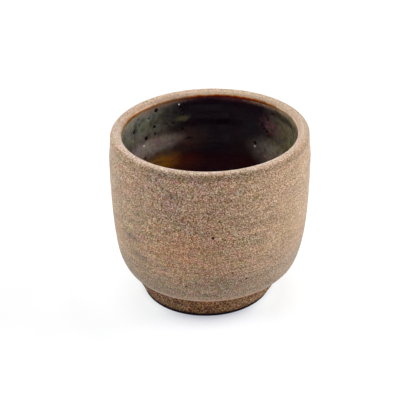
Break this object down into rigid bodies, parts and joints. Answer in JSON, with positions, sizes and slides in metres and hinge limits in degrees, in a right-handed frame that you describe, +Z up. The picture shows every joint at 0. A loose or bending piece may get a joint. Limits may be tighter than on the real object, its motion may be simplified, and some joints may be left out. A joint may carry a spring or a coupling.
{
  "type": "footed tea cup",
  "caption": "Small handleless stoneware tea cup: a rounded bowl of bare grogged clay with a soft lip, dark gloss glaze inside and a tapered foot ring.",
  "frame": {"origin": "on the table, under the middle of the foot ring", "axes": "+Z up along the axis the cup is turned about; +Y is the way the picture looks, +X to its right"},
  "size_m": [0.08, 0.08, 0.0715],
  "materials": {
    "stoneware": "bare fired clay with coarse grog",
    "foot_clay": "darker bare fired clay, turned",
    "dark_glaze": "gloss, near black with grey-green and amber breaks",
    "rust_glaze": "satin rust brown where the glaze thins"
  },
  "bodies": {
    "root": {"bowl": "stoneware", "foot_ring": "foot_clay", "interior_glaze": "dark_glaze", "glaze_edge": "rust_glaze"}
  },
  "joints": []
}
